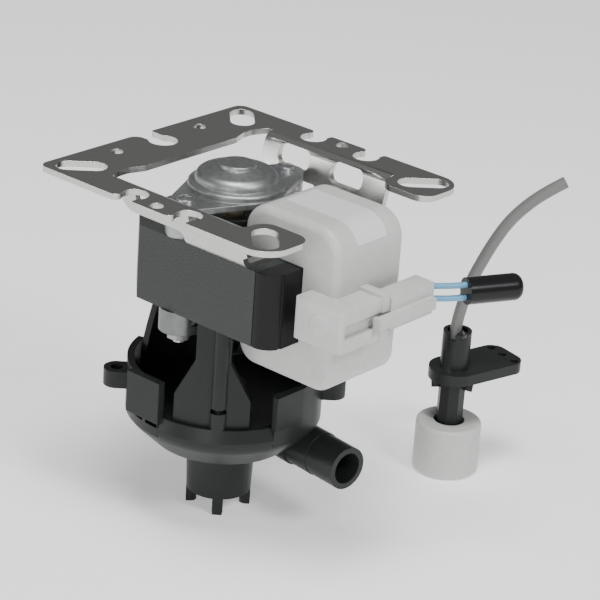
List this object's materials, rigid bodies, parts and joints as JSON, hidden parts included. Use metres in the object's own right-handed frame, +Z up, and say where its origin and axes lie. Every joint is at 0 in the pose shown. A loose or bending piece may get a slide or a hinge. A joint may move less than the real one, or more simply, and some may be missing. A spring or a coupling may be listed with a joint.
{
  "type": "condensate pump",
  "caption": "Condensate pump with a shaded pole motor under a slotted steel bracket, a black pump housing with inlet cup and outlet spigot, and a loose float switch on a cable.",
  "frame": {"origin": "centre of the mounting bracket's plate on its top face", "axes": "+Z up along the motor shaft's direction, +X from the closed end of the bracket to its open end, on the side of the outlet spigot, +Y across the bracket"},
  "size_m": [0.1281, 0.1547, 0.1242],
  "materials": {
    "mounting_bracket": "zinc plated sheet steel",
    "stator_stack": "dark varnished laminations",
    "coil_core_bar": "dark varnished laminations",
    "shading_rings": "bare copper",
    "coil_casing": "moulded white",
    "coil_bobbin": "moulded white",
    "coil_winding": "enamelled copper wire",
    "terminal_housing": "moulded white",
    "terminal_pins": "tinned brass",
    "upper_bearing_bracket": "die cast",
    "lower_bearing_bracket": "die cast",
    "upper_bearing": "sintered bronze",
    "lower_bearing": "sintered bronze",
    "bearing_retainers": "spring steel",
    "through_bolts": "zinc plated",
    "through_nuts": "zinc plated",
    "frame_screws": "zinc plated",
    "pump_screws": "zinc plated",
    "motor_mount": "moulded black",
    "pump_housing": "moulded black",
    "housing_seal": "nitrile",
    "rotor_core": "ground laminations",
    "rotor_cage": "die cast",
    "shaft": "ground",
    "thrust_washers": "nylon",
    "slinger": "moulded black",
    "impeller": "moulded black",
    "plug_housing": "moulded white",
    "plug_contacts": "tinned brass",
    "plug_leads": "light blue insulation",
    "lead_end_cap": "dipped black",
    "switch_body": "moulded black",
    "stop_ring": "moulded black",
    "reed_switch": "sealed glass",
    "cable_potting": "cast black resin",
    "switch_cable": "grey sheath",
    "float_shell": "moulded white",
    "float_magnet": "ferrite"
  },
  "bodies": {
    "frame": {"mounting_bracket": "mounting_bracket", "stator_stack": "stator_stack", "coil_core_bar": "coil_core_bar", "shading_rings": "shading_rings", "coil_casing": "coil_casing", "coil_bobbin": "coil_bobbin", "coil_winding": "coil_winding", "terminal_housing": "terminal_housing", "terminal_pins": "terminal_pins", "upper_bearing_bracket": "upper_bearing_bracket", "lower_bearing_bracket": "lower_bearing_bracket", "upper_bearing": "upper_bearing", "lower_bearing": "lower_bearing", "bearing_retainers": "bearing_retainers", "through_bolts": "through_bolts", "through_nuts": "through_nuts", "frame_screws": "frame_screws", "pump_screws": "pump_screws", "motor_mount": "motor_mount", "pump_housing": "pump_housing", "housing_seal": "housing_seal", "switch_body": "switch_body", "stop_ring": "stop_ring", "reed_switch": "reed_switch", "cable_potting": "cable_potting", "switch_cable": "switch_cable"},
    "rotor": {"rotor_core": "rotor_core", "rotor_cage": "rotor_cage", "shaft": "shaft", "thrust_washers": "thrust_washers", "slinger": "slinger", "impeller": "impeller"},
    "float": {"float_shell": "float_shell", "float_magnet": "float_magnet"},
    "plug": {"plug_housing": "plug_housing", "plug_contacts": "plug_contacts", "plug_leads": "plug_leads", "lead_end_cap": "lead_end_cap"}
  },
  "joints": [
    {"name": "rotor_spin", "type": "hinge", "parent": "frame", "child": "rotor", "pos_m": [-0.007, 0, -0.04], "axis": [0, 0, 1], "continuous": true},
    {"name": "float_slide", "type": "slide", "parent": "frame", "child": "float", "axis": [0, 0, 1], "range_m": [0, 0.012]},
    {"name": "plug_pull", "type": "slide", "parent": "frame", "child": "plug", "axis": [0, 1, 0], "range_m": [0, 0.015]}
  ]
}
